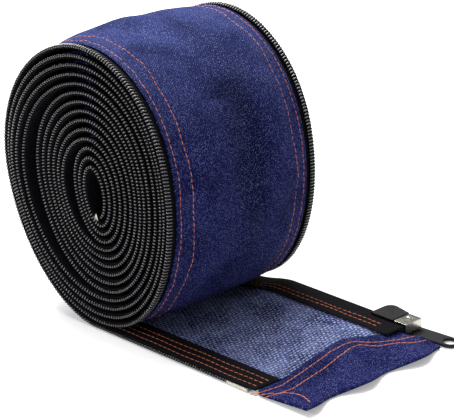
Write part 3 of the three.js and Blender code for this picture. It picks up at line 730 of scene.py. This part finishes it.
TAPE_COLUMNS = np.array([TAPE_INNER, 36, 38, 41, 44, 47, 48.4, 49.8, 51.4, 52.4, TAPE_OUTER])
TAPE_EDGE_DROP = 0.15
TAPE_EDGE_WIDTH = 0.6
BOX_WALL = 1.1


def make_tape(name, side, tail_end):
    stations = Stations(np.linspace(tail_end, TAIL_LAST_X, TAPE_TAIL_STEPS), roll_turns())
    v = np.sort(side * TAPE_COLUMNS)
    ends = np.minimum(np.abs(v) - TAPE_INNER, TAPE_OUTER - np.abs(v))
    thin = TAPE_EDGE_DROP * (1 - smoothstep(ends, 0, TAPE_EDGE_WIDTH))
    outer = stations.points(v, COIL_HEIGHT + thin)
    inner = stations.points(v, STRIP_STACK - thin)
    tape = shell(name + "_cloth", outer, inner, stations.along, v, [ZIP_TAPE])
    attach(tape, "sleeve")
    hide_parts(name)


# What repeats along the strip

def guide(name, lines):
    """Lines of points with the direction that faces out of the cloth at each."""
    points, edges, out = [], [], []
    for line, outward in lines:
        first = len(points)
        points += [tuple(p * MM) for p in np.asarray(line, float)]
        out += [tuple(o) for o in np.asarray(outward, float)]
        edges += [(first + i, first + i + 1) for i in range(len(line) - 1)]
    mesh = bpy.data.meshes.new(name)
    mesh.from_pydata(points, edges, [])
    attribute = mesh.attributes.new("outward", "FLOAT_VECTOR", "POINT")
    attribute.data.foreach_set("vector", np.array(out, np.float32).ravel())
    return add_object(mesh, name)


class Growth:
    """A geometry node tree with named inputs."""

    def __init__(self, name, inputs):
        self.tree = bpy.data.node_groups.new(name, "GeometryNodeTree")
        self.tree.interface.new_socket("Geometry", in_out="INPUT", socket_type="NodeSocketGeometry")
        for label, value in inputs.items():
            socket = self.tree.interface.new_socket(label, in_out="INPUT", socket_type="NodeSocketFloat")
            socket.default_value = value
        self.tree.interface.new_socket("Geometry", in_out="OUTPUT", socket_type="NodeSocketGeometry")
        self.entry = self.tree.nodes.new("NodeGroupInput")
        self.exit = self.tree.nodes.new("NodeGroupOutput")

    def add(self, kind, settings=None, inputs=None):
        node = self.tree.nodes.new(kind)
        for key, value in (settings or {}).items():
            setattr(node, key, value)
        for key, value in (inputs or {}).items():
            if isinstance(value, bpy.types.NodeSocket):
                self.tree.links.new(value, node.inputs[key])
            else:
                node.inputs[key].default_value = value
        return node

    def math(self, operation, a, b):
        return self.add("ShaderNodeMath", {"operation": operation}, {0: a, 1: b}).outputs[0]

    def vector(self, x, y, z):
        return self.add("ShaderNodeCombineXYZ", None, {0: x, 1: y, 2: z}).outputs[0]

    def along_guide(self, item, pitch, turned):
        """The item at each pitch of the lines, its X along the line and its Z out of the cloth."""
        curve = self.add("GeometryNodeMeshToCurve", None, {0: self.entry.outputs["Geometry"]})
        stops = self.add("GeometryNodeResampleCurve", {"mode": "LENGTH"}, {
            "Curve": curve.outputs[0],
            "Length": pitch,
        })
        facing = self.add("GeometryNodeInputNamedAttribute", {"data_type": "FLOAT_VECTOR"},
                          {"Name": "outward"})
        tangent = self.add("GeometryNodeInputTangent")
        frame_of = self.add("FunctionNodeAxesToRotation", {"primary_axis": "X", "secondary_axis": "Z"}, {
            "Primary Axis": tangent.outputs[0],
            "Secondary Axis": facing.outputs[0],
        })
        own_turn = self.add("FunctionNodeEulerToRotation", None, {0: turned})
        turn = self.add("FunctionNodeRotateRotation", {"rotation_space": "LOCAL"}, {
            0: frame_of.outputs[0],
            1: own_turn.outputs[0],
        })
        return self.add("GeometryNodeInstanceOnPoints", None, {
            "Points": stops.outputs[0],
            "Instance": item,
            "Rotation": turn.outputs[0],
        })

    def finish(self, instances, material):
        real = self.add("GeometryNodeRealizeInstances", None, {0: instances.outputs[0]})
        smooth = self.add("GeometryNodeSetShadeSmooth", None, {0: real.outputs[0]})
        painted = self.add("GeometryNodeSetMaterial", None, {0: smooth.outputs[0]})
        painted.inputs["Material"].default_value = material
        self.tree.links.new(painted.outputs[0], self.exit.inputs[0])
        return self.tree


def coil_tree():
    growth = Growth("zip_coil_loops", {
        "Pitch": COIL_PITCH * MM, "Width": COIL_WIDTH * MM, "Height": COIL_HEIGHT * MM,
        "Wire": COIL_WIRE * MM, "Lean": COIL_LEAN,
    })
    sockets = growth.entry.outputs
    path = growth.add("GeometryNodeCurvePrimitiveCircle", None, {"Resolution": 8, "Radius": 0.5})
    long = growth.math("SUBTRACT", sockets["Width"], growth.math("MULTIPLY", sockets["Wire"], 2))
    tall = growth.math("SUBTRACT", sockets["Height"], growth.math("MULTIPLY", sockets["Wire"], 2))
    oval = growth.add("GeometryNodeTransform", None, {
        "Geometry": path.outputs[0], "Scale": growth.vector(tall, long, 1.0),
        "Rotation": (0, math.radians(90), 0),
    })
    wire = growth.add("GeometryNodeCurvePrimitiveCircle", None, {"Resolution": 5})
    growth.tree.links.new(sockets["Wire"], wire.inputs["Radius"])
    loop = growth.add("GeometryNodeCurveToMesh", None, {0: oval.outputs[0], 1: wire.outputs[0]})
    turned = growth.vector(0.0, 0.0, sockets["Lean"])
    return growth.finish(growth.along_guide(loop.outputs[0], sockets["Pitch"], turned), ZIP_COIL)


def stitch_tree():
    growth = Growth("stitch_rows", {
        "Pitch": STITCH_PITCH * MM, "Length": STITCH_LENGTH * MM, "Thread": THREAD_RADIUS * MM,
        "Slant": STITCH_SLANT,
    })
    sockets = growth.entry.outputs
    bead = growth.add("GeometryNodeMeshUVSphere", None, {"Segments": 6, "Rings": 5, "Radius": 1.0})
    stitch = growth.add("GeometryNodeTransform", None, {
        "Geometry": bead.outputs[0], "Rotation": (0, math.radians(90), 0),
    })
    half = growth.math("DIVIDE", sockets["Length"], 2)
    size = growth.vector(half, sockets["Thread"], sockets["Thread"])
    sized = growth.add("GeometryNodeTransform", None, {"Geometry": stitch.outputs[0], "Scale": size})
    turned = growth.vector(0.0, 0.0, sockets["Slant"])
    return growth.finish(growth.along_guide(sized.outputs[0], sockets["Pitch"], turned), ORANGE_THREAD)


def grow(start, tree, name, **sizes):
    """What the tree makes of the guide, as a plain mesh in an object of its own."""
    modifier = start.modifiers.new("growth", "NODES")
    modifier.node_group = tree
    for item in tree.interface.items_tree:
        key = item.name.lower()
        if item.in_out == "INPUT" and key in sizes:
            modifier[item.identifier] = sizes[key]
    bpy.context.view_layer.update()
    evaluated = start.evaluated_get(bpy.context.evaluated_depsgraph_get())
    mesh = bpy.data.meshes.new_from_object(evaluated)
    start.modifiers.remove(modifier)
    bpy.data.objects.remove(start)
    mesh.name = name
    return add_object(mesh, name)


def strip_line(stations, v, depth):
    """A line along the strip, and the direction out of the cloth at each of its points."""
    line = stations.points([v], depth)[:, 0]
    return line, stations.outward(1)[:, 0]


def end_turns(before_end):
    """Even steps round every turn, up to a length of strip before the inner end."""
    last = np.interp(LENGTH_SUM[-1] - before_end, LENGTH_SUM, LENGTH_TURNS)
    return np.linspace(0, last, int(last * COIL_STEPS))


def make_coil(name, side, tail_end, tree):
    tail_x = np.linspace(tail_end - COIL_PITCH / 2, TAIL_LAST_X, COIL_TAIL_STEPS)
    stations = Stations(tail_x, end_turns(STOP_LENGTH + COIL_END_GAP))
    middle = side * (HALF_WIDTH - COIL_WIDTH / 2)
    start = guide(name + "_guide", [strip_line(stations, middle, COIL_HEIGHT / 2)])
    loops = grow(start, tree, name + "_loops", lean=side * COIL_LEAN)
    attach(loops, "sleeve")
    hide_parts(name)
    v = np.sort(middle + side * np.array(CORD_EDGES))
    outer = stations.points(v, COIL_HEIGHT / 2 - CORD_HALF_HEIGHT + CORD_RIM)
    inner = stations.points(v, COIL_HEIGHT / 2 + CORD_HALF_HEIGHT - CORD_RIM)
    filler = shell(name + "_filler", outer, inner, stations.along, v, [ZIP_TAPE])
    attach(filler, "sleeve")


def sewn_line(stations, v, depth, seed):
    """A row of stitches along the strip that wanders a little to each side."""
    line, outward = strip_line(stations, v, depth)
    line[:, 1] += ROW_WANDER * ripple(stations.along / ROW_WANDER_LENGTH, seed)
    return line, outward


def seam_guides():
    """Rows of stitches round the outermost turn, and on the tail's inner side."""
    lines = []
    roll = Stations([], np.linspace(*ROLL_ROW_SPAN, ROLL_ROW_STEPS))
    tail = Stations(np.linspace(HEM_START, TAIL_ROW_LAST_X, TAIL_ROW_STEPS), [])
    for row in SEAM_ROWS:
        for side in (-1, 1):
            outer_depth, _ = panel_depths(roll, np.array([side * row]))
            lines.append(sewn_line(roll, side * row, outer_depth - SEAM_STITCH_LIFT, row + side))
    for row in TAIL_ROWS:
        line, outward = sewn_line(tail, row, STRIP_STACK + TAIL_STITCH_LIFT, row)
        lines.append((line, -outward))
    return lines


def hem_guides():
    lines = []
    for row in (HEM_ROW_ONE, HEM_ROW_TWO, CORNER_ROW):
        steps = np.linalg.norm(np.diff(np.array(row), axis=0), axis=1)
        lengths = np.concatenate([[0], np.cumsum(steps)])
        run = np.linspace(0, lengths[-1], HEM_ROW_STEPS)
        v = smooth_line(tuple(zip(lengths, (point[0] for point in row))), run)
        x = smooth_line(tuple(zip(lengths, (point[1] for point in row))), run)
        y, z = hem_bottom(x, v)
        height = z + HEM_THICKNESS + flap_puckers(x, v) + HEM_STITCH_LIFT
        line = np.stack([x, y, height], axis=-1)
        lines.append((line, np.tile((0.0, 0.0, 1.0), (len(v), 1))))
    return lines


def make_stitches(name, lines, tree, **sizes):
    rows = grow(guide(name + "_guide", lines), tree, name, **sizes)
    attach(rows, "sleeve")


# Metal and moulded pieces

# Angles between faces: what counts as flat, what gets rounded and what is shaded smooth.
FLAT_BELOW = math.radians(1)
ROUNDED_ABOVE = math.radians(30)
SMOOTH_BELOW = math.radians(35)


def rounded_copy(node, name, body, material, width, segments=2):
    """A CAD node's shape with its edges rounded off."""
    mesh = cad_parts[node].data.copy()
    mesh.name = name
    work = bmesh.new()
    work.from_mesh(mesh)
    bmesh.ops.remove_doubles(work, verts=work.verts, dist=1e-6)
    bmesh.ops.dissolve_limit(work, angle_limit=FLAT_BELOW, verts=work.verts, edges=work.edges)
    sharp = [e for e in work.edges if len(e.link_faces) == 2 and e.calc_face_angle() > ROUNDED_ABOVE]
    bmesh.ops.bevel(work, geom=sharp, offset=width * MM, segments=segments, affect="EDGES",
                    clamp_overlap=True)
    work.to_mesh(mesh)
    work.free()
    mesh.materials.clear()
    mesh.materials.append(material)
    mesh.polygons.foreach_set("use_smooth", np.full(len(mesh.polygons), True))
    mesh.set_sharp_from_angle(angle=SMOOTH_BELOW)
    piece = add_object(mesh, name)
    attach(piece, body)
    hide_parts(node)


# The floor, the lights and the camera

# The floor, in metres, and how much it gives off towards the camera alone, so that it shows white
# around a faint shadow: a little near the part, and growing to all of it between two distances.
FLOOR_HALF = 3
FLOOR_DROP = 0.0002
FLOOR_LIFT = 0.3
LIFT_GROWS = (0.4, 1.6)
WORLD_LIGHT = 0.4

# The camera, fitted to the photo: the picture and the focal length in pixels, where the camera stands
# around what it aims at, and where that point falls in the picture.
PICTURE_WIDTH = 454
PICTURE_HEIGHT = 419
FOCAL_PIXELS = 2500
SENSOR_WIDTH = 36
CAMERA_AZIMUTH = math.radians(44.896)
CAMERA_ELEVATION = math.radians(20.679)
CAMERA_DISTANCE = 1280.18
CAMERA_AIM = (33.3, 0, 75)
AIM_PIXEL = (220.755, 184.596)


def make_floor():
    work = bmesh.new()
    bmesh.ops.create_grid(work, x_segments=1, y_segments=1, size=FLOOR_HALF)
    mesh = bpy.data.meshes.new("floor")
    work.to_mesh(mesh)
    work.free()
    floor = add_object(mesh, "floor")
    floor.location = (0, 0, -FLOOR_DROP)
    recipe = Recipe("white_floor", Roughness=0.9, Specular_IOR_Level=0.1)
    recipe.colour((0.95, 0.95, 0.95, 1))
    seen = recipe.add("ShaderNodeLightPath").outputs["Is Camera Ray"]
    recipe.shader.inputs["Emission Color"].default_value = (1, 1, 1, 1)
    place = recipe.add("ShaderNodeTexCoord").outputs["Object"]
    lift = recipe.ramp(recipe.length(place), *LIFT_GROWS, FLOOR_LIFT, 1.0)
    recipe.put(recipe.shader.inputs["Emission Strength"], recipe.math("MULTIPLY", seen, lift))
    mesh.materials.append(recipe.material)


def make_world():
    world = bpy.data.worlds.new("studio")
    bpy.context.scene.world = world
    world.use_nodes = True
    nodes, links = world.node_tree.nodes, world.node_tree.links
    path = nodes.new("ShaderNodeLightPath")
    seen = nodes.new("ShaderNodeMath")
    seen.operation = "MAXIMUM"
    links.new(path.outputs["Is Camera Ray"], seen.inputs[0])
    links.new(path.outputs["Is Transmission Ray"], seen.inputs[1])
    strength = nodes.new("ShaderNodeMapRange")
    strength.inputs[3].default_value = WORLD_LIGHT
    strength.inputs[4].default_value = 1.0
    links.new(seen.outputs[0], strength.inputs[0])
    background = nodes["Background"]
    background.inputs[0].default_value = (1, 1, 1, 1)
    links.new(strength.outputs[0], background.inputs[1])


def add_lamp(name, place, aim, size, watts):
    data = bpy.data.lights.new(name, "AREA")
    data.shape = "RECTANGLE"
    data.size, data.size_y = size
    data.energy = watts
    lamp = bpy.data.objects.new(name, data)
    bpy.context.scene.collection.objects.link(lamp)
    lamp.location = place
    lamp.rotation_euler = (Vector(aim) - Vector(place)).to_track_quat("-Z", "Y").to_euler()


def make_camera():
    azimuth, elevation = CAMERA_AZIMUTH, CAMERA_ELEVATION
    back = Vector((math.sin(azimuth) * math.cos(elevation), -math.cos(azimuth) * math.cos(elevation),
                   math.sin(elevation)))
    right = Vector((math.cos(azimuth), math.sin(azimuth), 0))
    up = back.cross(right)
    place = Vector(CAMERA_AIM) * MM + back * CAMERA_DISTANCE * MM
    data = bpy.data.cameras.new("photo_view")
    data.sensor_width = SENSOR_WIDTH
    data.lens = SENSOR_WIDTH * FOCAL_PIXELS / PICTURE_WIDTH
    data.shift_x = (PICTURE_WIDTH / 2 - AIM_PIXEL[0]) / PICTURE_WIDTH
    data.shift_y = (AIM_PIXEL[1] - PICTURE_HEIGHT / 2) / PICTURE_WIDTH
    data.clip_start = 0.05
    data.clip_end = 20
    camera = bpy.data.objects.new("photo_view", data)
    bpy.context.scene.collection.objects.link(camera)
    camera.matrix_world = Matrix.Translation(place) @ Matrix((right, up, back)).transposed().to_4x4()
    bpy.context.scene.camera = camera


make_denim()
make_tape("near_zip_tape", -1, NEAR_TAPE_END)
make_tape("far_zip_tape", 1, FAR_TAPE_END - BOX_WALL)
COIL_TREE = coil_tree()
make_coil("near_zip_coil", -1, NEAR_COIL_END, COIL_TREE)
make_coil("far_zip_coil", 1, FAR_COIL_END, COIL_TREE)
STITCH_TREE = stitch_tree()
make_stitches("orange_stitches", seam_guides(), STITCH_TREE)
make_stitches("hem_stitches", hem_guides(), STITCH_TREE,
              length=HEM_STITCH_LENGTH * MM, thread=HEM_THREAD * MM)
for node in ("insertion_pin", "retainer_pin", "retainer_box", "near_top_stop", "far_top_stop"):
    rounded_copy(node, node + "_metal", "sleeve", BRIGHT_NICKEL, 0.25)
rounded_copy("slider_body", "slider_casting", "slider", BLACK_ENAMEL, 0.5, 3)
rounded_copy("pull_tab", "pull_tab_moulding", "tab", BLACK_TAB, 0.3)

make_floor()
make_world()
add_lamp("top_softbox", (-0.45, 0.2, 1.1), (0, 0, 0.05), (0.9, 0.9), 24)
add_lamp("front_softbox", (-0.15, -1.15, 0.72), (0, 0, 0.07), (0.3, 0.3), 3.7)
make_camera()

bpy.context.scene.view_settings.view_transform = "Standard"
